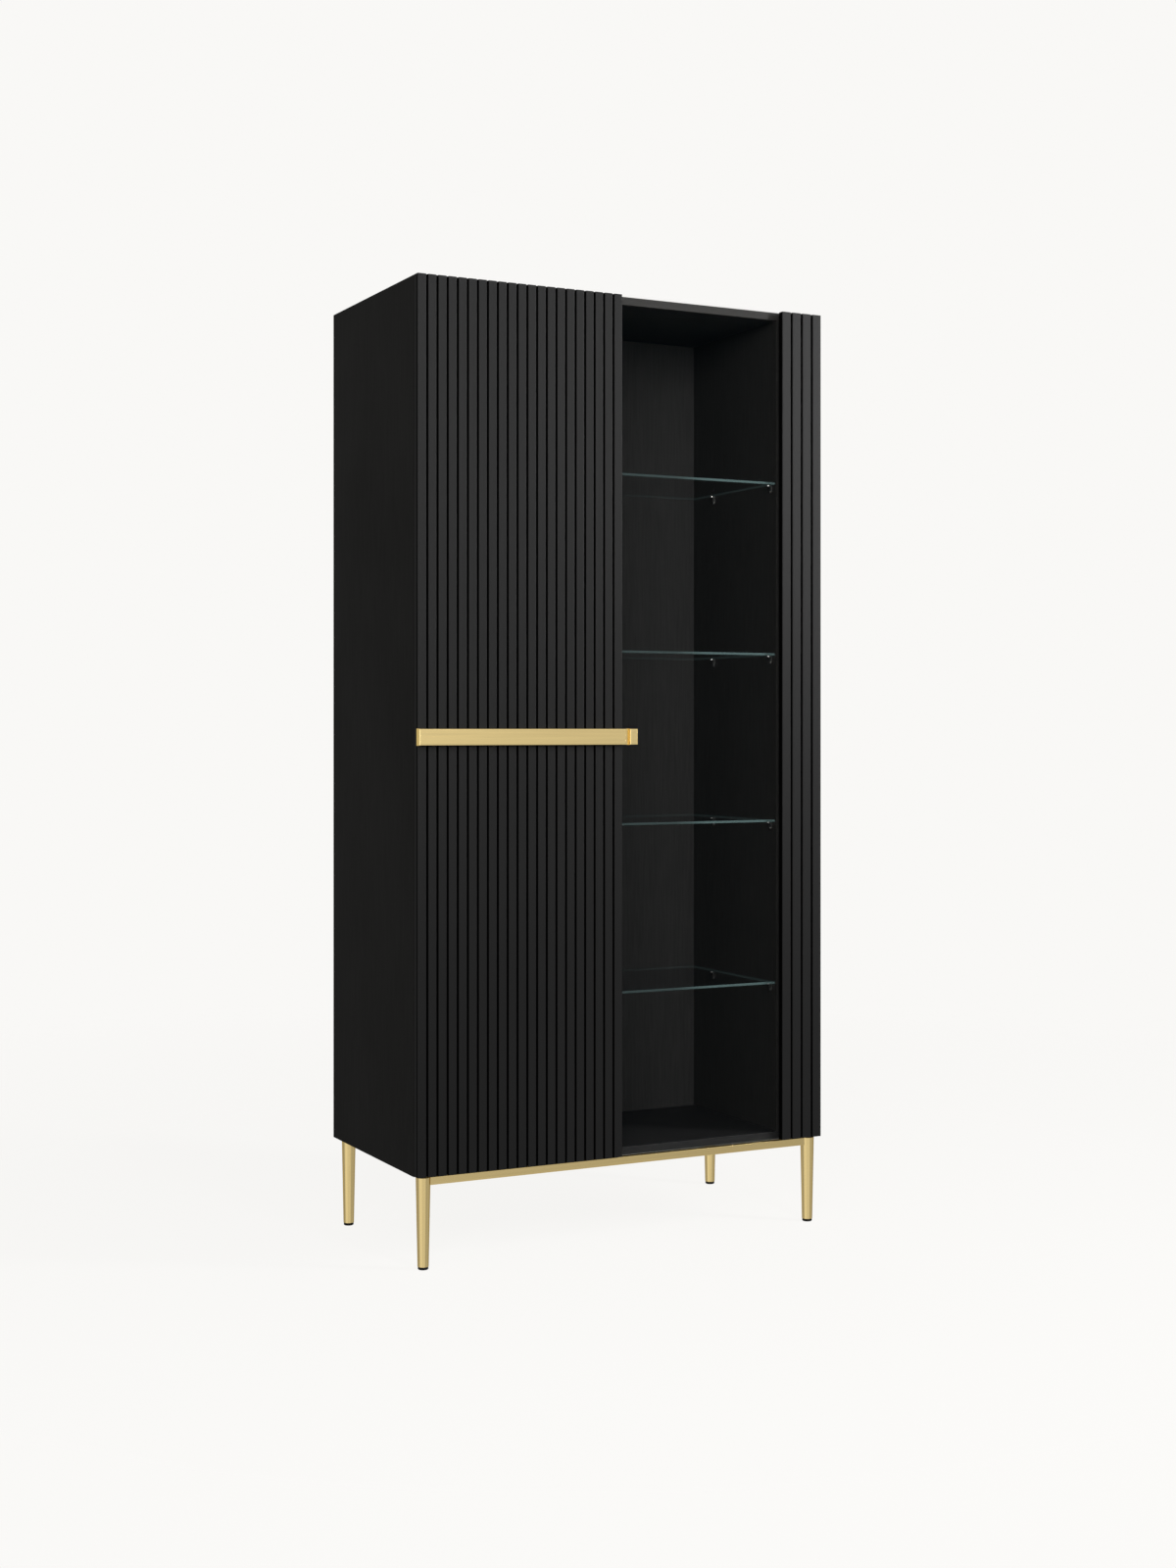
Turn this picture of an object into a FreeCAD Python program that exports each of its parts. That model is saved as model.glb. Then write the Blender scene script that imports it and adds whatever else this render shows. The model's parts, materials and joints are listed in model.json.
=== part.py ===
import FreeCAD, Part
import math
import os

# Tall bookcase on tapered metal legs: a fluted door on the left, a glass door with a
# fluted stile on the right, glass shelves behind the glass and wooden ones behind the flutes.
#
# Millimetres. The pieces are worked out from the front left corner of the body:
# x runs right from the outer face of the left side, y runs back from the front face
# of the doors and z runs up from the floor. save() then moves each piece so that the
# origin lies in the middle of the footprint of the whole bookcase.

V = FreeCAD.Vector
X_AXIS = V(1, 0, 0)
Y_AXIS = V(0, 1, 0)
Z_AXIS = V(0, 0, 1)

TOLERANCE = 0.01  # for finding an edge by its direction and its place

# ---------------------------------------------------------------- body
body_width = 900.0
body_height = 1700.0
carcass_depth = 436.0
leg_height = 176.0  # floor to the underside of the body
board = 16.0  # sides, top, bottom, partition, column wall
panel_edge = 1.0  # rounding of the boards' long front edges

display_back_inset = 96.0  # of the panel behind the glass shelves, from the back edges of the boards
display_back_thickness = 8.0
rear_panel_thickness = 5.0
rear_panel_inset = 12.0  # from the back edges of the boards
groove_depth = 6.0  # of the grooves that hold both back panels
groove_play = 0.2  # around a panel in its groove

# ---------------------------------------------------------------- doors
door_thickness = 18.0
door_standoff = 2.0  # air between a closed door and the body
door_lift = 1.5  # the doors end this far above the underside of the body
fluted_door_width = 434.5
door_gap = 3.5  # between the two doors
stile_width = 94.0
wall_reveal = 2.0  # of the column wall, seen beside the stile

flute_groove = 4.0
flute_round = 1.6  # of the edges of each flute
door_groove_count = 20
door_end_land = 17.6  # first and last flute of the door
stile_groove_count = 3
stile_end_land = 20.5

glass_pane = 5.0
pane_lap = 20.0  # of the pane behind the stile
pane_bond = 0.2  # adhesive around the pane in the stile's rebate
pane_edge = 0.8  # polished bevel of the glass edges

# ---------------------------------------------------------------- handles
handle_height = 32.0
handle_projection = 14.0
handle_bevel = 2.6
handle_middle = 829.0  # above the underside of the body
long_handle_overhang = 2.5  # past both edges of the fluted door, less than the door gap
short_handle_width = 18.0
short_handle_start = 6.5  # from the free edge of the glass pane
short_handle_step = 7.0  # of the part beside the long handle, behind the front of the grip
handle_stem_width = 12.0
handle_stem_height = 20.0
handle_screw_radius = 2.0
handle_screw_bite = 9.0  # thread inside the handle
handle_screw_head_radius = 4.0
handle_screw_head = 1.4
long_handle_screw_flute = 4  # grooves between its screws and the edges of the fluted door
pane_washer_radius = 6.0
pane_washer = 0.6

# ---------------------------------------------------------------- shelves
glass_shelf = 5.0
glass_shelf_heights = (319.0, 652.5, 995.0, 1347.0)  # undersides, above that of the body
glass_shelf_setback = 4.0  # from the front of the body
glass_shelf_back_gap = 4.0
shelf_play = 1.0  # at both ends of a shelf
storage_shelf_count = 4
storage_shelf_setback = 25.0
storage_shelf_back_gap = 1.0

pin_radius = 2.5
pin_depth = 9.0  # of the pin in its hole
pin_hole_extra = 0.5
pin_tongue = 10.0  # reach of the tongue that carries the shelf
pin_width = 8.0
pin_drop = 13.0  # centre of the pin, below the shelf
pin_plate = 2.0  # of the metal
pin_head = 0.8  # end of the pin, proud of its plate
front_pin_inset = 18.0  # from the front edge of the shelf
rear_pin_inset = 84.0  # from the back edge of the shelf

# ---------------------------------------------------------------- hinges
hinge_outer_inset = 100.0  # of two hinges, from the underside and from the top of the body
hinge_inner_inset = 520.0  # of the other two
cup_radius = 17.5
cup_depth = 11.5
cup_wall = 1.0
cup_web = 1.4  # of the door, left between a cup and the grooves in front of it
cup_centre_in = 22.5  # from the outer edge of the door
cup_flange = 1.2
cup_flange_rim = 2.0
cup_ear_height = 62.0
cup_ear_inner = 2.0  # the ears start this far from the centre of the cup, toward the middle of the door
cup_ear_outer = 16.0  # and end this far from it
cup_ear_corner = 4.0
cup_screw_in = 9.5  # from the centre of the cup, the same way
cup_screw_spacing = 48.0
bore_play = 0.1  # around what is pressed or glued into a board

hinge_plate_back = 37.0  # from the front of the side to the plate's screws
hinge_plate_base = 2.0
hinge_plate_width = 20.0
hinge_plate_height = 50.0
hinge_plate_corner = 6.0
hinge_plate_screw_spacing = 32.0
hinge_rib_width = 12.0
hinge_rib_length = 44.0
hinge_arm_top = 15.0  # above the inner face of the side
hinge_arm_width = 19.0
hinge_arm_wall = 1.5
hinge_arm_lift = 2.0  # air between the arm and the wings of its plate
hinge_arm_front = 4.5  # behind the front of the side
hinge_arm_length = 64.0
link_thickness = 12.0
link_radius = 4.2
link_front_pivot = 15.0  # behind the front face of the door
link_rear_pivot = 28.5
link_pivot_height = 9.3  # above the inner face of the side
link_pin_radius = 1.5
link_pin_length = 15.6

screw_radius = 1.75
screw_head_radius = 3.4
screw_head = 1.8
screw_bite = 12.0

bumper_radius = 4.0
bumper_thickness = 1.7
bumper_inset = 10.0  # centre of a bumper from the edge of the fluted door, or from that of the pane

# ---------------------------------------------------------------- joinery
cam_radius = 7.5
cam_height = 12.0
cam_slot = 2.0
cam_slot_depth = 3.0
cam_centre_in = 34.0  # from the end of the board
cam_bolt_radius = 3.0
cam_bolt_bite = 11.0  # of the bolt in the side
cam_inset = 60.0  # from the front and back edges of the body
dowel_radius = 4.0
dowel_length = 30.0
dowel_bite = 10.0
dowel_beside_cam = 32.0
wall_screw_radius = 2.5
wall_screw_length = 50.0
wall_screw_head_radius = 5.0
wall_screw_head = 3.0
wall_screw_inset = 70.0

# ---------------------------------------------------------------- base
leg_inset = 20.0  # centre of a leg from the side
front_leg_back = 22.0  # centre of a front leg from the front of the doors
rear_leg_in = 36.0  # centre of a rear leg from the back of the body
leg_top_radius = 14.0
leg_foot_radius = 10.6
leg_wall = 1.5
leg_edge = 0.6  # bevel round the foot of a leg
foot_pad_radius = 10.0
foot_pad_height = 5.0
foot_pad_edge = 1.2
foot_plug_height = 14.0
foot_plug_play = 0.2
leg_plate = 2.0
leg_plate_size = 54.0
leg_plate_lap = 2.0  # of the plate past the middle of the leg
leg_plate_corner = 6.0  # bevel of its inmost corner
leg_plate_screw_inset = 9.0
rail_size = 15.0
rail_wall = 1.5
rail_edge = 0.6  # rounding of its four long edges
rail_reach = 4.0  # of a rail's end into the width of the leg, before it is cut to the leg's round
rail_weld = 0.05  # between the cut end and the leg

# ---------------------------------------------------------------- worked out
carcass_front = door_thickness + door_standoff
carcass_back = carcass_front + carcass_depth
carcass_bottom = leg_height
carcass_top = leg_height + body_height
inner_bottom = carcass_bottom + board
inner_top = carcass_top - board

glass_door_left = fluted_door_width + door_gap
stile_left = body_width - stile_width
partition_left = fluted_door_width + (door_gap - board) / 2
partition_right = partition_left + board
wall_left = stile_left - wall_reveal
wall_right = wall_left + board
right_side_inner = body_width - board

display_back_front = carcass_back - display_back_inset
rear_panel_back = carcass_back - rear_panel_inset
rear_panel_front = rear_panel_back - rear_panel_thickness

door_bottom = carcass_bottom + door_lift
door_top = carcass_top
flute_depth = door_thickness - cup_depth - bore_play - cup_web
pane_front = door_thickness - glass_pane
handle_z = carcass_bottom + handle_middle

leg_top = leg_height - leg_plate
front_leg_y = front_leg_back
rear_leg_y = carcass_back - rear_leg_in

origin_x = (body_width - long_handle_overhang) / 2
origin_y = (carcass_back - handle_projection) / 2


def save(name, *solids):
    """Writes one sub-part, of one solid or of several alike, with its origin in place."""
    shape = solids[0].copy() if len(solids) == 1 else Part.makeCompound(list(solids))
    shape.translate(V(-origin_x, -origin_y, 0))
    os.makedirs("parts", exist_ok=True)
    shape.exportStep("parts/" + name + ".step")


def block(x0, x1, y0, y1, z0, z1):
    """A box between two values on each axis, in either order."""
    x0, x1 = sorted((x0, x1))
    y0, y1 = sorted((y0, y1))
    z0, z1 = sorted((z0, z1))
    return Part.makeBox(x1 - x0, y1 - y0, z1 - z0, V(x0, y0, z0))


def rod(radius, start, direction, length):
    return Part.makeCylinder(radius, length, start, direction)


def cut_all(shape, tools):
    return shape.cut(Part.makeCompound(list(tools))) if tools else shape


def flip(shape):
    """The same piece on the other side of the bookcase."""
    return shape.mirror(V(body_width / 2, 0, 0), X_AXIS)


def edges_along(shape, axis, x=None, y=None, z=None):
    """Straight edges along one axis whose middle lies at the given places."""
    found = []
    for edge in shape.Edges:
        if not isinstance(edge.Curve, Part.Line):
            continue
        if edge.tangentAt(edge.FirstParameter).cross(axis).Length > TOLERANCE:
            continue
        middle = edge.CenterOfMass
        wanted = ((x, middle.x), (y, middle.y), (z, middle.z))
        if all(place is None or abs(place - value) < TOLERANCE for place, value in wanted):
            found.append(edge)
    return found


def screw(start, direction, length, radius=screw_radius, head_radius=screw_head_radius, head=screw_head):
    """A countersunk screw that is driven from start along direction."""
    cone = Part.makeCone(head_radius, radius, head, start, direction)
    return cone.fuse(rod(radius, start, direction, length)).removeSplitter()


# ---------------------------------------------------------------- shelves and their pins
def glass_shelf_levels():
    return [carcass_bottom + height for height in glass_shelf_heights]


def storage_shelf_levels():
    clear = (inner_top - inner_bottom - storage_shelf_count * board) / (storage_shelf_count + 1)
    return [inner_bottom + clear + index * (clear + board) for index in range(storage_shelf_count)]


def glass_shelf_reach():
    return carcass_front + glass_shelf_setback, display_back_front - glass_shelf_back_gap


def storage_shelf_reach():
    return carcass_front + storage_shelf_setback, rear_panel_front - storage_shelf_back_gap


def pin_places(levels, reach):
    """(y, z) of the pins under a stack of shelves: z is the underside of the shelf."""
    front, back = reach
    return [(y, z) for z in levels for y in (front + front_pin_inset, back - rear_pin_inset)]


def shelf_pin(face, y, z, out):
    """A pin in the board whose face is at x = face; out is +1 or -1, away from that face."""
    outward = X_AXIS * out
    half = pin_width / 2
    centre = V(face, y, z - pin_drop)
    plate = block(face, face + out * pin_plate, y - half, y + half, centre.z, z)
    plate_end = rod(half, centre, outward, pin_plate)
    tip = face + out * (pin_tongue - half)
    tongue = block(face, tip, y - half, y + half, z - pin_plate, z)
    tongue_end = rod(half, V(tip, y, z - pin_plate), Z_AXIS, pin_plate)
    pin = rod(pin_radius, centre - outward * pin_depth, outward, pin_depth + pin_plate + pin_head)
    return plate.fuse([plate_end, tongue, tongue_end, pin]).removeSplitter()


def pin_holes(face, places, out):
    depth = pin_depth + pin_hole_extra
    radius = pin_radius + bore_play
    return [rod(radius, V(face, y, z - pin_drop), X_AXIS * -out, depth) for y, z in places]


def glass_sheet(x0, x1, y0, y1, z0, z1):
    """A pane or shelf of glass with its edges ground to a small bevel."""
    sheet = block(x0, x1, y0, y1, z0, z1)
    return sheet.makeChamfer(pane_edge, sheet.Edges)


def make_shelves():
    display = pin_places(glass_shelf_levels(), glass_shelf_reach())
    storage = pin_places(storage_shelf_levels(), storage_shelf_reach())
    front, back = glass_shelf_reach()
    for number, z in enumerate(glass_shelf_levels(), 1):
        x0 = partition_right + shelf_play
        x1 = wall_left - shelf_play
        save("glass_shelf_%d" % number, glass_sheet(x0, x1, front, back, z, z + glass_shelf))
    front, back = storage_shelf_reach()
    for number, z in enumerate(storage_shelf_levels(), 1):
        shelf = block(board + shelf_play, partition_left - shelf_play, front, back, z, z + board)
        shelf = shelf.makeFillet(panel_edge, edges_along(shelf, X_AXIS, y=front))
        save("storage_shelf_%d" % number, shelf)
    pins = [shelf_pin(partition_right, y, z, 1) for y, z in display]
    pins += [shelf_pin(wall_left, y, z, -1) for y, z in display]
    save("glass_shelf_pins", *pins)
    pins = [shelf_pin(board, y, z, 1) for y, z in storage]
    pins += [shelf_pin(partition_left, y, z, -1) for y, z in storage]
    save("storage_shelf_pins", *pins)


# ---------------------------------------------------------------- joinery
def cam_places():
    """y of the cam fittings at each end of the top and of the bottom."""
    return carcass_front + cam_inset, carcass_back - cam_inset


def board_ends():
    """(x of the side's inner face, direction into the top or bottom board) at both ends."""
    return (board, 1), (right_side_inner, -1)


def cam_disc(x, y, z, down):
    """A cam lock let into a board; its slotted face is at z and it goes in along down."""
    disc = rod(cam_radius, V(x, y, z), Z_AXIS * down, cam_height)
    half_slot = cam_slot / 2
    slot = block(x - cam_radius, x + cam_radius, y - half_slot, y + half_slot, z, z + down * cam_slot_depth)
    return disc.cut(slot)


def horizontal_boards():
    """(outer face z, direction into the board) of the top and of the bottom."""
    return (carcass_top, -1), (carcass_bottom, 1)


def cam_sets():
    """Each cam lock's centre, the face it enters from and the two directions it needs."""
    sets = []
    for z, down in horizontal_boards():
        for face, inward in board_ends():
            for y in cam_places():
                sets.append((face, inward, y, z, down))
    return sets


def cam_bolt(face, inward, y, z, down, play=0.0):
    """The bolt from inside the side to the cam lock, or with play the bore for it."""
    start = V(face - inward * (cam_bolt_bite + play), y, z + down * board / 2)
    length = cam_bolt_bite + cam_centre_in + play
    return rod(cam_bolt_radius + play, start, X_AXIS * inward, length)


def dowel(face, inward, y, z, down, play=0.0):
    start = V(face - inward * (dowel_bite + play), y, z + down * board / 2)
    return rod(dowel_radius + play, start, X_AXIS * inward, dowel_length + 2 * play)


def dowel_sets():
    sets = []
    for face, inward, y, z, down in cam_sets():
        toward_middle = 1 if y < (carcass_front + carcass_back) / 2 else -1
        sets.append((face, inward, y + toward_middle * dowel_beside_cam, z, down))
    return sets


def wall_screw_sets():
    """(x, y, z, direction) of the screws through the top and bottom into the upright boards."""
    sets = []
    for z, down in horizontal_boards():
        for x in ((partition_left + partition_right) / 2, (wall_left + wall_right) / 2):
            for y in (carcass_front + wall_screw_inset, display_back_front - wall_screw_inset):
                sets.append((x, y, z, down))
    return sets


def wall_screw(x, y, z, down, play=0.0):
    start = V(x, y, z)
    head = wall_screw_head_radius + play
    length = wall_screw_length + play
    return screw(start, Z_AXIS * down, length, wall_screw_radius + play, head, wall_screw_head)


def joinery_bores():
    """What the boards lose to the cam locks, bolts, dowels and long screws."""
    bores = [cam_bolt(*place, play=bore_play) for place in cam_sets()]
    bores += [dowel(*place, play=bore_play) for place in dowel_sets()]
    bores += [wall_screw(*place, play=bore_play) for place in wall_screw_sets()]
    for face, inward, y, z, down in cam_sets():
        start = V(face + inward * cam_centre_in, y, z)
        bores.append(rod(cam_radius + bore_play, start, Z_AXIS * down, cam_height + bore_play))
    return bores


def make_joinery():
    bolts = [cam_bolt(*place) for place in cam_sets()]
    discs = []
    for place in cam_sets():
        face, inward, y, z, down = place
        disc = cam_disc(face + inward * cam_centre_in, y, z, down)
        discs.append(disc.cut(cam_bolt(*place, play=bore_play)))
    save("cam_locks", *discs)
    save("cam_bolts", *bolts)
    save("dowels", *[dowel(*place) for place in dowel_sets()])
    save("wall_screws", *[wall_screw(*place) for place in wall_screw_sets()])


# ---------------------------------------------------------------- hinges
def hinge_levels():
    """Two hinges toward each end of the body, the lowest first."""
    insets = (hinge_outer_inset, hinge_inner_inset)
    return [carcass_bottom + inset for inset in insets] + [carcass_top - inset for inset in reversed(insets)]


def cup_screw_places(z):
    half = cup_screw_spacing / 2
    return [V(cup_centre_in + cup_screw_in, door_thickness + cup_flange, z + side * half) for side in (-1, 1)]


def cup_bore(z):
    depth = cup_depth + bore_play
    return rod(cup_radius + bore_play, V(cup_centre_in, door_thickness - depth, z), Y_AXIS, depth)


def hinge_cup(z):
    """The pressed cup in the door with its flange and the two ears for its screws."""
    centre = V(cup_centre_in, door_thickness - cup_depth, z)
    cup = rod(cup_radius, centre, Y_AXIS, cup_depth + cup_flange)
    rim = rod(cup_radius + cup_flange_rim, V(cup_centre_in, door_thickness, z), Y_AXIS, cup_flange)
    half = cup_ear_height / 2
    inner = cup_centre_in + cup_ear_inner
    outer = cup_centre_in + cup_ear_outer
    ears = block(inner, outer, door_thickness, door_thickness + cup_flange, z - half, z + half)
    ears = ears.makeFillet(cup_ear_corner, edges_along(ears, Y_AXIS))
    hollow = rod(cup_radius - cup_wall, centre + Y_AXIS * cup_wall, Y_AXIS, cup_depth + cup_flange)
    bore = screw_radius + bore_play
    screws = [screw(place, Y_AXIS * -1, screw_bite, bore) for place in cup_screw_places(z)]
    return cut_all(cup.fuse([rim, ears]).removeSplitter(), [hollow] + screws)


def hinge_plate_y():
    return carcass_front + hinge_plate_back


def plate_screw_places(z):
    half = hinge_plate_screw_spacing / 2
    return [V(board + hinge_plate_base, hinge_plate_y(), z + side * half) for side in (-1, 1)]


def hinge_plate(z):
    """The plate on the side: two wings for its screws and the rib that the arm clips over."""
    y = hinge_plate_y()
    half_wing = hinge_plate_width / 2
    half = hinge_plate_height / 2
    wings = block(board, board + hinge_plate_base, y - half_wing, y + half_wing, z - half, z + half)
    wings = wings.makeFillet(hinge_plate_corner, edges_along(wings, X_AXIS))
    rib_top = board + hinge_arm_top - hinge_arm_wall
    half_rib = hinge_rib_width / 2
    half_length = hinge_rib_length / 2
    rib = block(board, rib_top, y - half_length, y + half_length, z - half_rib, z + half_rib)
    bore = screw_radius + bore_play
    screws = [screw(place, X_AXIS * -1, screw_bite, bore) for place in plate_screw_places(z)]
    return cut_all(wings.fuse(rib).removeSplitter(), screws)


def hinge_arm(z):
    """The folded steel arm, open toward the side, whose front end holds the link."""
    top = board + hinge_arm_top
    low = board + hinge_plate_base + hinge_arm_lift
    front = carcass_front + hinge_arm_front
    back = front + hinge_arm_length
    half = hinge_arm_width / 2
    arm = block(low, top, front, back, z - half, z + half)
    arm = arm.makeFillet(hinge_arm_wall, edges_along(arm, Y_AXIS, x=top))
    inner = half - hinge_arm_wall
    channel = block(low, top - hinge_arm_wall, front, back, z - inner, z + inner)
    pivot = V(board + link_pivot_height, link_rear_pivot, z - half)
    return arm.cut(channel).cut(rod(link_pin_radius + bore_play, pivot, Z_AXIS, hinge_arm_width))


def hinge_link(z):
    """The link between arm and cup, drawn folded as with the door shut, with its two pins."""
    x = board + link_pivot_height
    bottom = z - link_thickness / 2
    ends = [V(x, link_front_pivot, bottom), V(x, link_rear_pivot, bottom)]
    plate = block(x - link_radius, x + link_radius, link_front_pivot, link_rear_pivot,
                  bottom, bottom + link_thickness)
    rounds = [rod(link_radius, end, Z_AXIS, link_thickness) for end in ends]
    pin_low = Z_AXIS * ((link_thickness - link_pin_length) / 2)
    pins = [rod(link_pin_radius, end + pin_low, Z_AXIS, link_pin_length) for end in ends]
    return plate.fuse(rounds + pins).removeSplitter()


def make_hinges():
    """The four hinges of each door: pieces on the door and pieces on the side."""
    levels = hinge_levels()
    cup_screws = [screw(place, Y_AXIS * -1, screw_bite) for z in levels for place in cup_screw_places(z)]
    plate_screws = [screw(place, X_AXIS * -1, screw_bite) for z in levels for place in plate_screw_places(z)]
    groups = {
        "hinge_cups": [hinge_cup(z) for z in levels],
        "hinge_cup_screws": cup_screws,
        "hinge_plates": [hinge_plate(z) for z in levels],
        "hinge_plate_screws": plate_screws,
        "hinge_arms": [hinge_arm(z) for z in levels],
        "hinge_links": [hinge_link(z) for z in levels],
    }
    for name, solids in groups.items():
        save("left_" + name, *solids)
        save("right_" + name, *[flip(solid) for solid in solids])


def hinge_bores_in_door():
    screws = [screw(place, Y_AXIS * -1, screw_bite + bore_play, screw_radius + bore_play)
              for z in hinge_levels() for place in cup_screw_places(z)]
    return [cup_bore(z) for z in hinge_levels()] + screws


def hinge_bores_in_side():
    return [screw(place, X_AXIS * -1, screw_bite + bore_play, screw_radius + bore_play)
            for z in hinge_levels() for place in plate_screw_places(z)]


# ---------------------------------------------------------------- boards
def upright(x, y_back):
    """A full board between the bottom and the top, from the front of the body to y_back."""
    return block(x, x + board, carcass_front, y_back, inner_bottom, inner_top)


def side_panel():
    panel = block(0, board, carcass_front, carcass_back, carcass_bottom, carcass_top)
    return panel.makeFillet(panel_edge, edges_along(panel, Z_AXIS, y=carcass_front))


def rear_groove():
    reach = groove_depth + groove_play
    return block(board - reach, right_side_inner + reach, rear_panel_front - groove_play,
                 rear_panel_back + groove_play, inner_bottom - reach, inner_top + reach)


def display_groove():
    reach = groove_depth + groove_play
    return block(partition_right - reach, wall_left + reach, display_back_front - groove_play,
                 display_back_front + display_back_thickness + groove_play, inner_bottom, inner_top)


def make_boards():
    joinery = joinery_bores()
    storage = pin_places(storage_shelf_levels(), storage_shelf_reach())
    display = pin_places(glass_shelf_levels(), glass_shelf_reach())
    side = side_panel()
    left = cut_all(side, joinery + hinge_bores_in_side() + pin_holes(board, storage, 1) + [rear_groove()])
    save("left_side", left)
    right_bores = [flip(bore) for bore in hinge_bores_in_side()]
    save("right_side", cut_all(flip(side), joinery + right_bores + [rear_groove()]))
    for name, z in (("top_panel", inner_top), ("bottom_panel", carcass_bottom)):
        panel = block(board, right_side_inner, carcass_front, carcass_back, z, z + board)
        panel = panel.makeFillet(panel_edge, edges_along(panel, X_AXIS, y=carcass_front))
        bores = joinery + [rear_groove()]
        if name == "bottom_panel":
            bores += [leg_screw(*place, play=bore_play) for place in leg_screw_places()]
        save(name, cut_all(panel, bores))
    bores = joinery + pin_holes(partition_right, display, 1) + pin_holes(partition_left, storage, -1)
    partition = upright(partition_left, rear_panel_front)
    save("partition", cut_all(partition, bores + [display_groove()]))
    wall = upright(wall_left, rear_panel_front)
    save("column_wall", cut_all(wall, joinery + pin_holes(wall_left, display, -1) + [display_groove()]))
    save("display_back", block(partition_right - groove_depth, wall_left + groove_depth, display_back_front,
                               display_back_front + display_back_thickness, inner_bottom, inner_top))
    save("rear_panel", block(board - groove_depth, right_side_inner + groove_depth, rear_panel_front,
                             rear_panel_back, inner_bottom - groove_depth, inner_top + groove_depth))


# ---------------------------------------------------------------- doors
def groove_starts(left, width, end_land, groove_count):
    """x of the left wall of each groove, evenly spaced between the two end flutes."""
    pitch = (width - 2 * end_land - flute_groove) / (groove_count - 1)
    return [left + end_land + index * pitch for index in range(groove_count)]


def fluted_board(left, width, end_land, groove_count):
    """A board with upright grooves right through its top and bottom edges, and rounded flutes."""
    panel = block(left, left + width, 0, door_thickness, door_bottom, door_top)
    cutter_bottom = door_bottom - flute_groove
    cutter_height = door_top - door_bottom + 2 * flute_groove
    grooves = []
    for x0 in groove_starts(left, width, end_land, groove_count):
        grooves.append(groove_cutter(x0, x0 + flute_groove, cutter_bottom, cutter_height))
    panel = panel.cut(Part.makeCompound(grooves))
    outer = edges_along(panel, Z_AXIS, x=left, y=0) + edges_along(panel, Z_AXIS, x=left + width, y=0)
    return panel.makeFillet(flute_round, outer)


def groove_cutter(x0, x1, bottom, height):
    """The milled groove's section, which flares at the face so that it rounds both flutes."""
    r = flute_round
    bend = r * (1 - math.sqrt(0.5))
    points = [V(x0, flute_depth), V(x0, r), V(x0 - bend, bend), V(x0 - r, 0), V(x0 - r, -r),
              V(x1 + r, -r), V(x1 + r, 0), V(x1 + bend, bend), V(x1, r), V(x1, flute_depth)]
    edges = [
        Part.makeLine(points[0], points[1]),
        Part.Arc(points[1], points[2], points[3]).toShape(),
        Part.makeLine(points[3], points[4]),
        Part.makeLine(points[4], points[5]),
        Part.makeLine(points[5], points[6]),
        Part.Arc(points[6], points[7], points[8]).toShape(),
        Part.makeLine(points[8], points[9]),
        Part.makeLine(points[9], points[0]),
    ]
    face = Part.Face(Part.Wire(edges))
    face.translate(V(0, 0, bottom))
    return face.extrude(V(0, 0, height))


def long_handle_screw_places():
    """In the middle of one flute toward each edge of the door."""
    starts = groove_starts(0, fluted_door_width, door_end_land, door_groove_count)
    before, after = starts[long_handle_screw_flute - 1], starts[long_handle_screw_flute]
    middle = (before + flute_groove + after) / 2
    return [V(x, door_thickness, handle_z) for x in (middle, fluted_door_width - middle)]


def short_handle_left():
    return glass_door_left + short_handle_start


def short_handle_screw_place():
    return V(short_handle_left() + short_handle_width / 2, door_thickness, handle_z)


def handle_bar(x0, x1):
    """A bar in front of the doors, with its front edges bevelled all round."""
    half = handle_height / 2
    bar = block(x0, x1, -handle_projection, 0, handle_z - half, handle_z + half)
    face = [edge for edge in bar.Edges if abs(edge.CenterOfMass.y + handle_projection) < TOLERANCE]
    return bar.makeFillet(handle_bevel, face)


def handle_screw_length(behind):
    """From the back of the door, past what lies between it and the handle, into the handle."""
    return behind + handle_screw_bite


def make_fluted_door():
    board_bores = hinge_bores_in_door()
    long_screw = handle_screw_length(door_thickness)
    holes = [rod(handle_screw_radius + bore_play, place, Y_AXIS * -1, long_screw + bore_play)
             for place in long_handle_screw_places()]
    door = fluted_board(0, fluted_door_width, door_end_land, door_groove_count)
    save("fluted_door", cut_all(door, board_bores + holes))
    bar = handle_bar(-long_handle_overhang, fluted_door_width + long_handle_overhang)
    save("long_handle", cut_all(bar, holes))
    save("long_handle_screws", *[handle_screw(place, long_screw) for place in long_handle_screw_places()])


def handle_screw(place, length):
    """A flat headed screw; place is where the underside of its head rests."""
    head = rod(handle_screw_head_radius, place, Y_AXIS, handle_screw_head)
    return head.fuse(rod(handle_screw_radius, place, Y_AXIS * -1, length)).removeSplitter()


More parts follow.
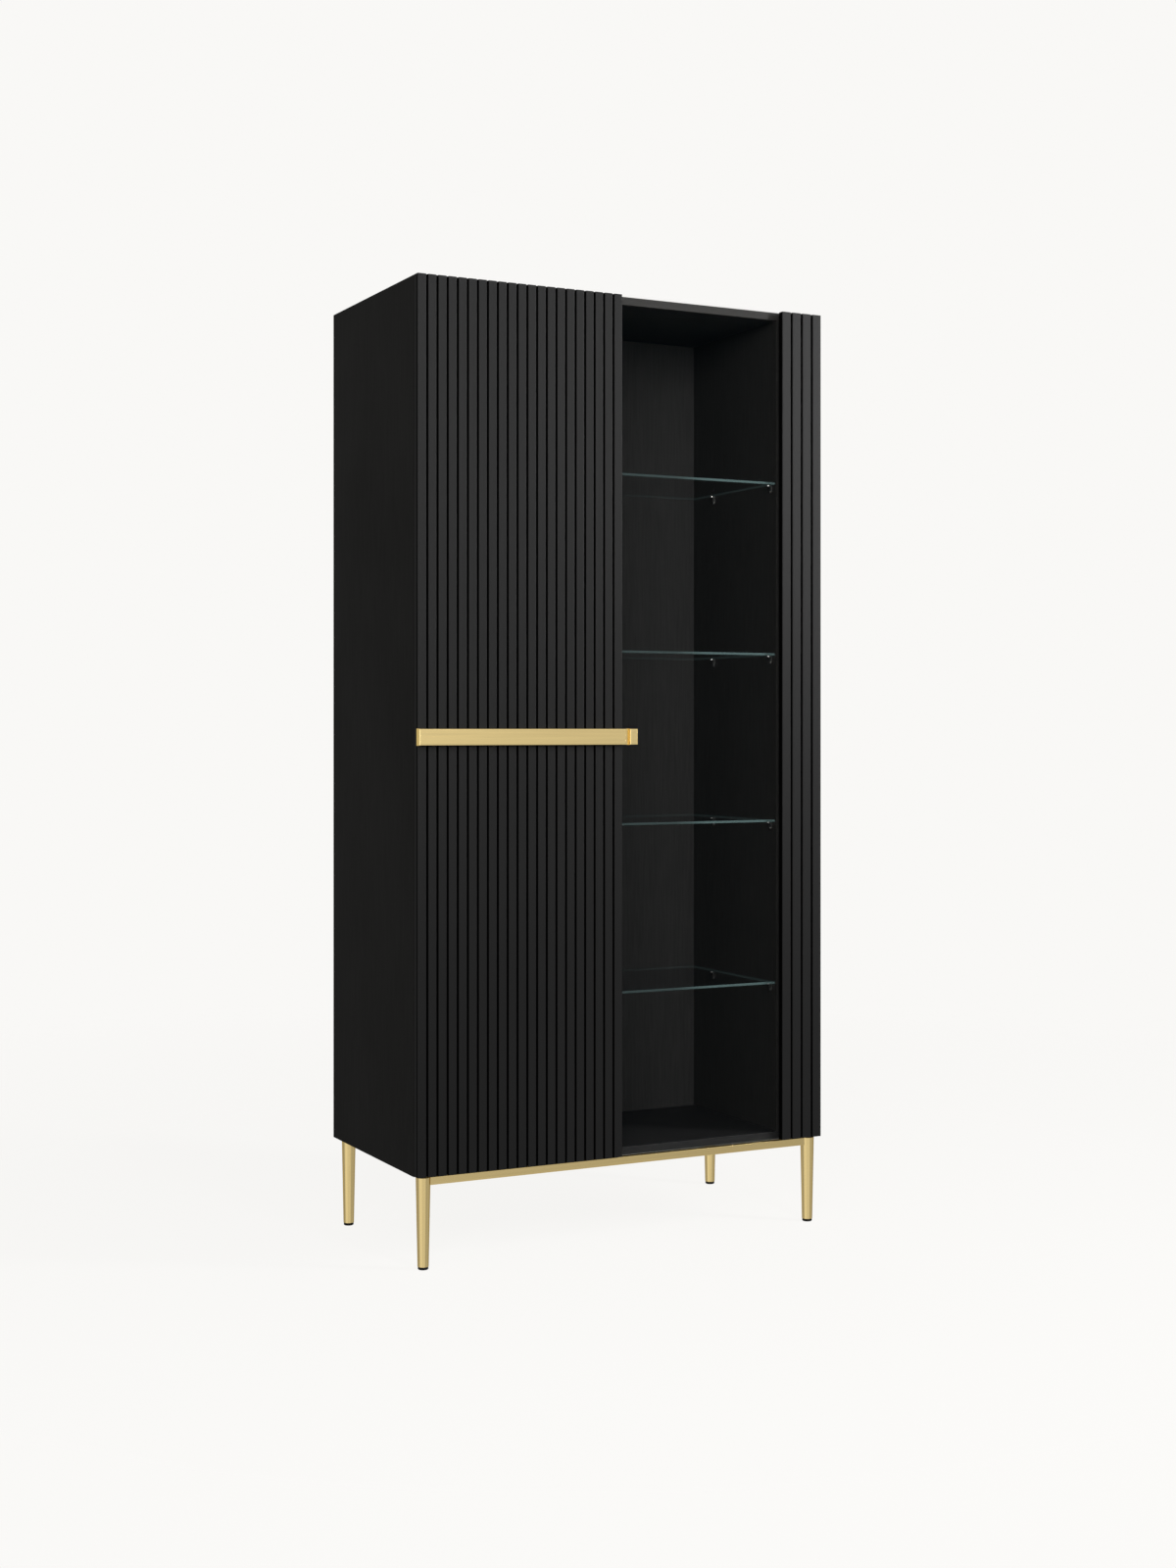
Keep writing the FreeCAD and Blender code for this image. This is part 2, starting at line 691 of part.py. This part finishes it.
def make_glass_door():
    stile = fluted_board(stile_left, stile_width, stile_end_land, stile_groove_count)
    rebate = block(stile_left, stile_left + pane_lap + pane_bond, pane_front - pane_bond,
                   door_thickness, door_bottom, door_top)
    bores = [flip(bore) for bore in hinge_bores_in_door()]
    save("fluted_stile", cut_all(stile, [rebate] + bores))
    place = short_handle_screw_place()
    washer_place = V(place.x, pane_front, place.z)
    screw_length = handle_screw_length(glass_pane + pane_washer)
    hole = rod(handle_screw_radius + bore_play, place + Y_AXIS * pane_washer, Y_AXIS * -1,
               screw_length + bore_play)
    pane = glass_sheet(glass_door_left, stile_left + pane_lap, pane_front, door_thickness,
                       door_bottom, door_top)
    save("door_glass", pane.cut(hole))
    x0 = short_handle_left()
    grip = handle_bar(x0, x0 + short_handle_width)
    half_grip = handle_height / 2
    step = block(glass_door_left, x0, short_handle_step - handle_projection, 0,
                 handle_z - half_grip, handle_z + half_grip)
    half_width = handle_stem_width / 2
    half_height = handle_stem_height / 2
    stem = block(place.x - half_width, place.x + half_width, 0, washer_place.y,
                 handle_z - half_height, handle_z + half_height)
    save("short_handle", grip.fuse([step, stem]).removeSplitter().cut(hole))
    save("short_handle_screw", handle_screw(place + Y_AXIS * pane_washer, screw_length))
    washer = rod(pane_washer_radius, place, Y_AXIS, pane_washer)
    save("short_handle_washer", washer.cut(hole))


def make_bumpers():
    """Soft dots on the backs of the doors, opposite the front edges of the bottom and the top."""
    heights = (carcass_bottom + board / 2, carcass_top - board / 2)
    left = [V(fluted_door_width - bumper_inset, door_thickness, z) for z in heights]
    right = [V(stile_left + pane_lap + bumper_inset, door_thickness, z) for z in heights]
    save("fluted_door_bumpers", *[rod(bumper_radius, place, Y_AXIS, bumper_thickness) for place in left])
    save("glass_door_bumpers", *[rod(bumper_radius, place, Y_AXIS, bumper_thickness) for place in right])


# ---------------------------------------------------------------- base
def leg_places():
    """(name, x, y, direction toward the middle in x, the same in y) of each leg."""
    places = []
    for row, y, back in (("front", front_leg_y, 1), ("rear", rear_leg_y, -1)):
        for side, x, inward in (("left", leg_inset, 1), ("right", body_width - leg_inset, -1)):
            places.append((row + "_" + side, x, y, inward, back))
    return places


def tapered(radius_top, radius_foot, x, y, bottom, top):
    return Part.makeCone(radius_foot, radius_top, top - bottom, V(x, y, bottom), Z_AXIS)


def low_rim(shape, z):
    return [edge for edge in shape.Edges
            if isinstance(edge.Curve, Part.Circle) and abs(edge.CenterOfMass.z - z) < TOLERANCE]


def leg(x, y):
    """A tapered tube, closed at its top, open below for the plug of its foot."""
    outer = tapered(leg_top_radius, leg_foot_radius, x, y, foot_pad_height, leg_top)
    outer = outer.makeChamfer(leg_edge, low_rim(outer, foot_pad_height))
    inner = tapered(leg_top_radius - leg_wall, leg_foot_radius - leg_wall, x, y,
                    foot_pad_height, leg_top - leg_wall)
    return outer.cut(inner)


def foot_pad(x, y):
    """The black foot: a pad with a plug that is pressed into the leg."""
    pad = rod(foot_pad_radius, V(x, y, 0), Z_AXIS, foot_pad_height)
    pad = pad.makeChamfer(foot_pad_edge, low_rim(pad, 0))
    plug_radius = leg_foot_radius - leg_wall - foot_plug_play
    return pad.fuse(rod(plug_radius, V(x, y, foot_pad_height), Z_AXIS, foot_plug_height)).removeSplitter()


def plate_corner(x, y, inward, back):
    return x - inward * leg_plate_lap, y - back * leg_plate_lap


def leg_screw_places():
    """(x, y) of the three screws of each leg plate, in the corners that the leg leaves free."""
    places = []
    for name, x, y, inward, back in leg_places():
        corner_x, corner_y = plate_corner(x, y, inward, back)
        near = leg_plate_screw_inset
        far = leg_plate_size - leg_plate_screw_inset
        for along, across in ((far, near), (far, far), (near, far)):
            places.append((corner_x + inward * along, corner_y + back * across))
    return places


def leg_screw(x, y, play=0.0):
    """A screw up through a leg plate into the bottom board."""
    start = V(x, y, leg_top - play)
    length = screw_bite + leg_plate + 2 * play
    return screw(start, Z_AXIS, length, screw_radius + play, screw_head_radius + play)


def leg_mounting_plate(x, y, inward, back):
    corner_x, corner_y = plate_corner(x, y, inward, back)
    far_x = corner_x + inward * leg_plate_size
    far_y = corner_y + back * leg_plate_size
    plate = block(corner_x, far_x, corner_y, far_y, leg_top, carcass_bottom)
    plate = plate.makeChamfer(leg_plate_corner, edges_along(plate, Z_AXIS, x=far_x, y=far_y))
    return cut_all(plate, [leg_screw(*place, play=bore_play) for place in leg_screw_places()])


def cross_rail(y):
    """The square tube between two legs, its ends cut to fit round them."""
    left_x = leg_inset + leg_top_radius - rail_reach
    right_x = body_width - left_x
    top = leg_top
    bottom = top - rail_size
    half = rail_size / 2
    tube = block(left_x, right_x, y - half, y + half, bottom, top)
    tube = tube.makeFillet(rail_edge, edges_along(tube, X_AXIS))
    inner = half - rail_wall
    tube = tube.cut(block(left_x, right_x, y - inner, y + inner, bottom + rail_wall, top - rail_wall))
    legs = [tapered(leg_top_radius + rail_weld, leg_foot_radius + rail_weld, x, y, foot_pad_height, leg_top)
            for x in (leg_inset, body_width - leg_inset)]
    return cut_all(tube, legs)


def make_base():
    for name, x, y, inward, back in leg_places():
        save(name + "_leg", leg(x, y))
        save(name + "_foot_pad", foot_pad(x, y))
    save("leg_plates", *[leg_mounting_plate(*place[1:]) for place in leg_places()])
    save("leg_plate_screws", *[leg_screw(*place) for place in leg_screw_places()])
    save("front_rail", cross_rail(front_leg_y))
    save("rear_rail", cross_rail(rear_leg_y))


make_boards()
make_shelves()
make_joinery()
make_hinges()
make_fluted_door()
make_glass_door()
make_bumpers()
make_base()
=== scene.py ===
import json
import math

import bpy
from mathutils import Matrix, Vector


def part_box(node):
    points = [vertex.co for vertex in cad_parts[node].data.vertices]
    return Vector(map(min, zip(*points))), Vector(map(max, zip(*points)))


# The looks of a tall black bookcase: fluted black doors, glass shelves and pane, brushed
# gold handles, legs and rails. Metres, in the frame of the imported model: x runs right,
# y runs back and z runs up from the floor.

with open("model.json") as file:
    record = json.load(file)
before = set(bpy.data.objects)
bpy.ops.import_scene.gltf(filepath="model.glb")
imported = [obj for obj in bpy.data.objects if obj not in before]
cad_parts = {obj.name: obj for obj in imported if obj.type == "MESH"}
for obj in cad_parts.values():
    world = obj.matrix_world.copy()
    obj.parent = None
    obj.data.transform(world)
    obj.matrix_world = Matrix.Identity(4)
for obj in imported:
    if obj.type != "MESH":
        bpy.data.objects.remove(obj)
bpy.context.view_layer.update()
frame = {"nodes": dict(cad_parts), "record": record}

X, Y, Z = range(3)

# ---------------------------------------------------------------- picture
IMAGE_HEIGHT = 1600
FOCAL_PIXELS = 2136.0
HORIZON_PIXEL = 742.66  # down from the top of the picture
SENSOR = 36.0  # millimetres along the long side of the picture
CAMERA_PLACE = Vector((-1.9489, -3.8616, 1.0225))
CAMERA_YAW = math.radians(27.045)  # to the right of straight ahead

# ---------------------------------------------------------------- light
FILL = 0.28  # of the white surroundings on the object
FLOOR_SIZE = 60.0
FLOOR_SURFACE = 0.06  # share of the floor's paleness that takes light and shadow
FLOOR_LIGHT = 0.87  # how bright that share is, out in the open
FLOOR_FADE = (1.2, 3.5)  # metres from the middle, where the floor turns into background

# What gloss sees around it. A height is a direction's upward share.
STUDIO_DIM = 0.50  # brightness between the soft boxes
STUDIO_BOXES = (  # degrees from the front toward the right, half width, added brightness
    (-65.0, 48.0, 0.82),
    (-4.0, 42.0, 0.62),
    (65.0, 45.0, 0.22),
    (140.0, 42.0, 0.45),
    (-155.0, 34.0, 0.40),
)
STUDIO_LOW = 0.78  # as much of all this is left below the horizon,
STUDIO_DIP = -0.2  # from this height down
STUDIO_STEEP = (0.3, 0.7)  # heights, up and down, over which full brightness is reached

# ---------------------------------------------------------------- colours, linear
PALE = (0.947, 0.939, 0.922)  # floor and background
BLACK_LAMINATE = (0.0124, 0.0122, 0.0117)
# painted shade: the bottom panel's darker copy of the black board
BLACK_SHADED_BOTTOM = (0.0060, 0.0060, 0.0061)
BLACK_TOP = (0.0122, 0.0112, 0.0100)
# painted light: the inner walls' lighter copy of the black board
BLACK_LIT_INNER = (0.0156, 0.0152, 0.0142)
# painted light: the display back's lighter copy of the black board
BLACK_LIT_BACK = (0.0203, 0.0199, 0.0191)
BLACK_HARDBOARD = (0.0180, 0.0174, 0.0164)
BLACK_LACQUER = (0.0030, 0.0030, 0.0031)
# painted shade: the colour the grooves darken to
GROOVE_PAINTED_SHADE = (0.0006, 0.0006, 0.0006)
GOLD = (0.825, 0.645, 0.300)
# painted shade: the gold's much darker tint toward its outlines
GOLD_SHADED_RIM = (0.46, 0.35, 0.18)
STEEL = (0.58, 0.57, 0.55)
DARK_NICKEL = (0.34, 0.34, 0.33)
GLASS_FACE = (0.003, 0.007, 0.010)
GLASS_EDGE = (0.098, 0.153, 0.151)
FOOT_RUBBER = (0.004, 0.004, 0.004)
SOFT_PLASTIC = (0.72, 0.74, 0.74)
BEECH = (0.52, 0.32, 0.15)
BEECH_DARK = (0.36, 0.20, 0.085)

# ---------------------------------------------------------------- surfaces
NOISE_RANGE = (0.3, 0.7)  # nearly all of a noise's values

# How far a face is turned to an axis, as its normal's share along it: from where it begins
# to count as facing that way, to where it counts in full.
LOOKS_UP = (0.5, 0.9)
LOOKS_SIDEWAYS = (0.8, 0.97)
LOOKS_THROUGH = (0.75, 0.95)  # the broad faces of glass, and not its edges

TOP_DULLED = 0.35  # the top panel's upper face is rougher by this much

GROOVE_DARKENS = (0.0008, 0.0040)  # metres behind the front of the doors, over which painted shade in the grooves begins and grows full
GROOVE_IS_PAST = (0.0060, 0.0070)  # where the board behind the grooves looks plain again, without painted shade
GROOVE_ROUGHER = 0.45
GLOSS_TAKEN_AS_SHADE = 0.8  # in the grooves and on faces that look sideways: painted shade, by taking off the gloss

FRONT_EDGE_TURN = (0.35, 0.55)  # of a shelf's width, where a painted highlight makes its front edge brighter
GLASS_RIM = 0.002  # as far in, the edges' own looks reach
LIGHT_HELD = 0.1  # of what clear glass covers, as much is kept from the light behind it


# ---------------------------------------------------------------- node helpers
class Nodes:
    """A node tree, with short calls to add its nodes and join them.

    A value is a number, a colour or vector, or another node's socket.
    """

    def __init__(self, tree):
        self.tree = tree

    def feed(self, target, value):
        if isinstance(value, bpy.types.NodeSocket):
            self.tree.links.new(value, target)
        elif target.type == "RGBA":
            target.default_value = (*value, 1)
        else:
            target.default_value = value

    def feed_all(self, targets, values):
        for target, value in zip(targets, values):
            self.feed(target, value)

    def add(self, kind, **values):
        """A new node. Each value goes to the input of that name, or else is a setting."""
        node = self.tree.nodes.new(kind)
        for name, value in values.items():
            label = name.replace("_", " ")
            if label in node.inputs:
                self.feed(node.inputs[label], value)
            else:
                setattr(node, name, value)
        return node

    def coordinates(self, name):
        return self.add("ShaderNodeTexCoord").outputs[name]

    def place(self, scale=(1.0, 1.0, 1.0)):
        """The place on the object, in metres times scale along each axis."""
        mapping = self.add("ShaderNodeMapping", Vector=self.coordinates("Object"), Scale=scale)
        return mapping.outputs["Vector"]

    def split(self, vector):
        return self.add("ShaderNodeSeparateXYZ", Vector=vector).outputs

    def noise(self, scale, detail):
        """Noise that changes as often in a metre as scale says, along each axis."""
        noise = self.add("ShaderNodeTexNoise", Vector=self.place(scale), Scale=1.0, Detail=detail)
        return noise.outputs["Fac"]

    def reckon(self, operation, *values, kind="ShaderNodeMath"):
        """A number worked out from others, or from vectors by kind ShaderNodeVectorMath."""
        node = self.add(kind, operation=operation)
        self.feed_all(node.inputs, values)
        return node.outputs["Value"]

    def sum(self, first, second):
        return self.reckon("ADD", first, second)

    def product(self, first, second):
        return self.reckon("MULTIPLY", first, second)

    def span(self, value, start, end, low=0.0, high=1.0, shape="LINEAR"):
        """From start to end, value becomes low to high. It goes no further on either side."""
        limits = {"From_Min": start, "From_Max": end, "To_Min": low, "To_Max": high}
        node = self.add("ShaderNodeMapRange", interpolation_type=shape, Value=value, **limits)
        return node.outputs["Result"]

    def spread(self, noise, low=0.0, high=1.0):
        return self.span(noise, *NOISE_RANGE, low, high)

    def between(self, share, first, second):
        """The number that lies this share of the way from first to second."""
        return self.add("ShaderNodeMix", Factor=share, A=first, B=second).outputs["Result"]

    def blend(self, share, first, second):
        """The colour that lies this share of the way from first to second."""
        mix = self.add("ShaderNodeMix", data_type="RGBA", Factor=share)
        self.feed_all((socket for socket in mix.inputs if socket.type == "RGBA"), (first, second))
        return next(socket for socket in mix.outputs if socket.type == "RGBA")

    def shade(self, noise, colour, dark, light):
        """A colour that noise changes from dark times its lightness to light times it."""
        return self.blend(self.spread(noise), scaled(colour, dark), scaled(colour, light))

    def facing(self, axis, limits, both_ways=True):
        """1 on faces that look along an axis, down to 0 on those that look elsewhere."""
        turn = self.split(self.coordinates("Normal"))[axis]
        if both_ways:
            turn = self.reckon("ABSOLUTE", turn)
        return self.span(turn, *limits)

    def bump(self, height, strength, distance):
        bump = self.add("ShaderNodeBump", Height=height, Strength=strength, Distance=distance)
        return bump.outputs["Normal"]

    def seen(self):
        """1 for rays from the camera, from gloss or out of glass, and 1 for those from gloss."""
        ray = self.add("ShaderNodeLightPath").outputs
        gloss = ray["Is Glossy Ray"]
        shown = self.reckon("MAXIMUM", ray["Is Camera Ray"], gloss)
        return self.reckon("MAXIMUM", shown, ray["Is Transmission Ray"]), gloss


class Look(Nodes):
    """A new material with one Principled shader."""

    def __init__(self, name):
        self.material = bpy.data.materials.new(name)
        self.material.use_nodes = True
        super().__init__(self.material.node_tree)

    def set(self, **values):
        shader = self.tree.nodes["Principled BSDF"]
        for name, value in values.items():
            self.feed(shader.inputs[name.replace("_", " ")], value)


def scaled(colour, share):
    return tuple(channel * share for channel in colour)


def stretched(axis, along, across):
    """Scales of a noise that is drawn out along one axis."""
    return tuple(along if number == axis else across for number in (X, Y, Z))


def even(value):
    return (value, value, value)


# ---------------------------------------------------------------- materials
def black_board(name, colour, grain_axis, gloss, dulled_above=0.0):
    """Melamine-faced board: black, with a fine pressed grain along one axis.

    dulled_above is how much rougher the face is that looks up.
    """
    look = Look(name)
    grain = look.noise(stretched(grain_axis, along=14.0, across=420.0), detail=6.0)
    rough = look.spread(look.noise(even(3.0), detail=3.0), 0.50, 0.58)
    if dulled_above:
        upward = look.facing(Z, LOOKS_UP, both_ways=False)
        rough = look.sum(rough, look.product(upward, dulled_above))
    look.set(
        Base_Color=look.shade(grain, colour, 0.82, 1.18),
        Roughness=rough,
        Specular_IOR_Level=gloss,
        Normal=look.bump(grain, strength=0.10, distance=0.0004),
    )
    return look.material


def fluted_lacquer():
    """Sprayed matt lacquer on milled fibreboard, rougher down in the grooves and darker there as
    painted shade.

    Colour as dark as this has almost no gloss where it counts as metal, and so the grooves and the
    faces that look sideways get painted shade.
    """
    look = Look("fluted_lacquer")
    peel = look.noise(even(900.0), detail=2.0)
    cloud = look.noise(stretched(Z, along=1.2, across=2.0), detail=3.0)
    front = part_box("fluted_door")[0][1]
    depth = look.reckon("SUBTRACT", look.split(look.place())[Y], front)
    groove_depth_shade = look.span(depth, *GROOVE_DARKENS)
    groove_shade = look.product(groove_depth_shade, look.span(depth, *GROOVE_IS_PAST, 1.0, 0.0))
    # Painted shade: here the lacquer loses its gloss and renders darker.
    gloss_taken_as_shade = look.reckon("MAXIMUM", groove_shade, look.facing(X, LOOKS_SIDEWAYS))
    look.set(
        # Painted shade: the colour darkens down in the grooves.
        Base_Color=look.blend(groove_shade, look.shade(cloud, BLACK_LACQUER, 0.92, 1.08), GROOVE_PAINTED_SHADE),
        Roughness=look.sum(look.product(groove_shade, GROOVE_ROUGHER), look.spread(cloud, 0.42, 0.48)),
        Metallic=look.product(gloss_taken_as_shade, GLOSS_TAKEN_AS_SHADE),
        Specular_IOR_Level=0.30,
        Specular_Tint=even(0.5),
        Normal=look.bump(peel, strength=0.06, distance=0.0002),
    )
    return look.material


def brushed_gold(name, axis):
    """Gold coloured metal, brushed along one axis."""
    look = Look(name)
    brush = look.noise(stretched(axis, along=9.0, across=1500.0), detail=3.0)
    wide = look.noise(stretched(axis, along=4.0, across=260.0), detail=2.0)
    look.set(
        Base_Color=look.shade(wide, GOLD, 0.93, 1.0),
        Roughness=look.spread(brush, 0.13, 0.19),
        Metallic=1.0,
        # Painted shade: the gold darkens toward its outlines.
        Specular_Tint=GOLD_SHADED_RIM,
        Normal=look.bump(brush, strength=0.06, distance=0.00008),
    )
    return look.material


def clear_glass(name, thin_axis, face_cover, gloss, edge_covers, front_ends=(1.0, 1.0)):
    """Clear glass that is thin along one axis: faint faces, and sea-green polished edges.

    A cover is how much is hidden behind it. edge_covers are those of the edges at the back,
    at the sides and in front, and front_ends the shares of the last that its left and right
    ends have: a painted highlight that brightens the front edge toward the right. Edges are
    told apart by their place, with the glass shelves as the measure.
    Lamps and fill shine through nearly undimmed.
    """
    look = Look(name)
    back, side, front = edge_covers
    left_end, right_end = front_ends
    (shelf_left, shelf_front, _), (shelf_right, shelf_back, _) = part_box("glass_shelf_1")
    turn = (shelf_left + (shelf_right - shelf_left) * share for share in FRONT_EDGE_TURN)
    place = look.split(look.place())
    in_front = look.span(place[Y], shelf_front + GLASS_RIM, shelf_front + 2 * GLASS_RIM, 1.0, 0.0)
    at_back = look.span(place[Y], shelf_back - 2 * GLASS_RIM, shelf_back - GLASS_RIM)
    # Painted light: the front edge brightens toward the shelf's right end.
    front_edge = look.span(place[X], *turn, front * left_end, front * right_end)
    edge = look.between(at_back, look.between(in_front, side, front_edge), back)
    face = look.facing(thin_axis, LOOKS_THROUGH)
    cover = look.between(face, edge, face_cover)
    seen, _ = look.seen()
    look.set(
        Base_Color=look.blend(face, GLASS_EDGE, GLASS_FACE),
        Roughness=look.spread(look.noise(even(6.0), detail=3.0), 0.06, 0.12),
        Specular_IOR_Level=gloss,
        Alpha=look.product(cover, look.between(seen, LIGHT_HELD, 1.0)),
    )
    return look.material


def plated_metal(name, colour):
    look = Look(name)
    brush = look.noise(stretched(Z, along=120.0, across=700.0), detail=3.0)
    look.set(
        Base_Color=look.shade(brush, colour, 0.9, 1.0),
        Roughness=look.spread(brush, 0.22, 0.34),
        Metallic=1.0,
        Normal=look.bump(brush, strength=0.08, distance=0.00005),
    )
    return look.material


def foot_rubber():
    look = Look("black_rubber")
    grain = look.noise(even(1600.0), detail=3.0)
    look.set(
        Base_Color=look.shade(grain, FOOT_RUBBER, 0.8, 1.3),
        Roughness=look.spread(grain, 0.55, 0.70),
        Specular_IOR_Level=0.15,
        Normal=look.bump(grain, strength=0.2, distance=0.0001),
    )
    return look.material


def soft_plastic():
    look = Look("clear_rubber")
    grain = look.noise(even(500.0), detail=2.0)
    look.set(
        Base_Color=SOFT_PLASTIC,
        Roughness=look.spread(grain, 0.18, 0.30),
        Transmission_Weight=0.6,
        IOR=1.45,
    )
    return look.material


def beech():
    look = Look("beech")
    grain = look.noise(stretched(X, along=40.0, across=900.0), detail=5.0)
    look.set(
        Base_Color=look.blend(look.spread(grain), BEECH_DARK, BEECH),
        Roughness=look.spread(grain, 0.55, 0.7),
        Normal=look.bump(grain, strength=0.25, distance=0.0002),
    )
    return look.material


def paint_nodes():
    """Gives every CAD node its material: by its own name, or else by the record's slot."""
    by_slot = {
        "black_board": black_board("black_board_upright", BLACK_LAMINATE, Z, gloss=0.01),
        "rear_board": black_board("rear_board", BLACK_HARDBOARD, Z, gloss=0.1),
        "fluted_lacquer": fluted_lacquer(),
        "brushed_gold": brushed_gold("brushed_gold_across", X),
        "clear_glass": clear_glass(
            "shelf_glass", Z, face_cover=0.06, gloss=0.05,
            edge_covers=(0.10, 0.24, 0.68), front_ends=(0.42, 1.0),
        ),
        "plated_steel": plated_metal("plated_steel", STEEL),
        "black_rubber": foot_rubber(),
        "clear_rubber": soft_plastic(),
        "beech": beech(),
    }
    level_board = black_board("black_board_level", BLACK_LAMINATE, X, gloss=0.01)
    gold_upright = brushed_gold("brushed_gold_upright", Z)
    # Painted light: a lighter copy of the black board for the inner walls.
    lit_inner = black_board("black_board_lit_inner", BLACK_LIT_INNER, Z, gloss=0.05)
    nickel = plated_metal("dark_nickel", DARK_NICKEL)
    by_node = {
        "top_panel": black_board("black_board_top", BLACK_TOP, X, 0.22, TOP_DULLED),
        # painted shade: a darker copy of the black board
        "bottom_panel": black_board("black_board_shaded_bottom", BLACK_SHADED_BOTTOM, X, gloss=0.22),
        "door_glass": clear_glass("pane_glass", Y, 0.04, gloss=0.0, edge_covers=even(0.08)),
        # painted light: a lighter copy of the black board
        "display_back": black_board("display_back_lit_board", BLACK_LIT_BACK, Z, gloss=0.12),
        "column_wall": lit_inner,
        "partition": lit_inner,
        "glass_shelf_pins": nickel,
        "storage_shelf_pins": nickel,
    }
    for part in frame["record"]["subparts"]:
        node, slot = part["node"], part["material_slot"]
        material = by_node.get(node, by_slot[slot])
        if node.startswith("storage_shelf_") and slot == "black_board":
            material = level_board
        if node.endswith("_leg"):
            material = gold_upright
        mesh = frame["nodes"][node].data
        mesh.materials.clear()
        mesh.materials.append(material)


# ---------------------------------------------------------------- stage
def make_floor():
    """A pale floor that glows for the camera, with enough real surface to take the shadow.

    Gloss passes through it to the surroundings, which go on below the horizon. Far out it
    fades for the camera too, so that no horizon shows.
    """
    bpy.ops.mesh.primitive_plane_add(size=FLOOR_SIZE, location=(0, 0, 0))
    floor = bpy.context.object
    floor.name = "floor"
    look = Look("pale_floor")
    seen, gloss = look.seen()
    distance = look.reckon("LENGTH", look.coordinates("Object"), kind="ShaderNodeVectorMath")
    faded = look.product(seen, look.span(distance, *FLOOR_FADE))
    look.set(
        Base_Color=scaled(PALE, FLOOR_SURFACE),
        Roughness=0.9,
        Specular_IOR_Level=0.0,
        Emission_Color=PALE,
        Emission_Strength=look.product(seen, 1.0 - FLOOR_SURFACE * FLOOR_LIGHT),
        Alpha=look.reckon("SUBTRACT", 1.0, look.reckon("MAXIMUM", gloss, faded)),
    )
    floor.data.materials.append(look.material)


def studio_shade(sky):
    """How bright the surroundings are for gloss: pale where the studio's soft boxes stand."""
    direction = sky.coordinates("Generated")
    total = STUDIO_DIM
    for azimuth, half_width, brightness in STUDIO_BOXES:
        angle = math.radians(azimuth)
        middle = (math.sin(angle), -math.cos(angle), 0.0)
        nearness = sky.reckon("DOT_PRODUCT", direction, middle, kind="ShaderNodeVectorMath")
        rim = math.cos(math.radians(half_width))
        total = sky.sum(total, sky.span(nearness, rim, 1.0, 0.0, brightness, "SMOOTHSTEP"))
    height = sky.split(direction)[Z]
    total = sky.product(total, sky.span(height, STUDIO_DIP, 0.0, STUDIO_LOW, 1.0))
    steep = sky.span(sky.reckon("ABSOLUTE", height), *STUDIO_STEEP, 0.0, 1.0 - STUDIO_DIM)
    return sky.reckon("MINIMUM", sky.sum(total, steep), 1.0)


def make_world():
    """Pale for the camera, glass and metal; a plain grey fill for everything else."""
    world = bpy.data.worlds.new("studio")
    world.use_nodes = True
    bpy.context.scene.world = world
    sky = Nodes(world.node_tree)
    fill = sky.tree.nodes["Background"]
    sky.feed_all((fill.inputs["Color"], fill.inputs["Strength"]), (even(1.0), FILL))
    seen, gloss = sky.seen()
    brightness = sky.between(gloss, 1.0, studio_shade(sky))
    shown = sky.add("ShaderNodeBackground", Color=PALE, Strength=brightness)
    mix = sky.add("ShaderNodeMixShader")
    sky.feed_all(mix.inputs, (seen, fill.outputs[0], shown.outputs[0]))
    sky.feed(sky.tree.nodes["World Output"].inputs["Surface"], mix.outputs[0])


def softbox(name, place, target, size, watts):
    light = bpy.data.lights.new(name, "AREA")
    light.shape = "RECTANGLE"
    light.size, light.size_y = size
    light.energy = watts
    lamp = bpy.data.objects.new(name, light)
    lamp.location = place
    lamp.rotation_euler = (Vector(target) - Vector(place)).to_track_quat("-Z", "Y").to_euler()
    bpy.context.scene.collection.objects.link(lamp)


def make_lights():
    softbox("front_fill", (-2.6, -4.4, 2.4), target=(0.1, -0.1, 1.2), size=(1.6, 1.6), watts=130)
    softbox("right_strip", (3.3, -2.7, 2.5), target=(0.4, -0.2, 1.4), size=(0.6, 2.4), watts=163)
    softbox("middle_strip", (0.0, -2.9, 2.45), target=(-0.3, -0.2, 1.35), size=(0.4, 2.4), watts=34)
    softbox("left_box", (-3.2, -1.9, 2.0), target=(-0.3, -0.2, 1.2), size=(0.8, 2.4), watts=10)


def make_camera():
    camera = bpy.data.cameras.new("camera")
    camera.sensor_width = SENSOR
    camera.lens = FOCAL_PIXELS / IMAGE_HEIGHT * SENSOR
    camera.shift_y = (HORIZON_PIXEL - IMAGE_HEIGHT / 2) / IMAGE_HEIGHT
    viewer = bpy.data.objects.new("camera", camera)
    viewer.location = CAMERA_PLACE
    viewer.rotation_euler = (math.radians(90), 0, -CAMERA_YAW)
    bpy.context.scene.collection.objects.link(viewer)
    bpy.context.scene.camera = viewer


bpy.context.scene.view_settings.view_transform = "Standard"
make_camera()
make_world()
make_lights()
make_floor()
paint_nodes()
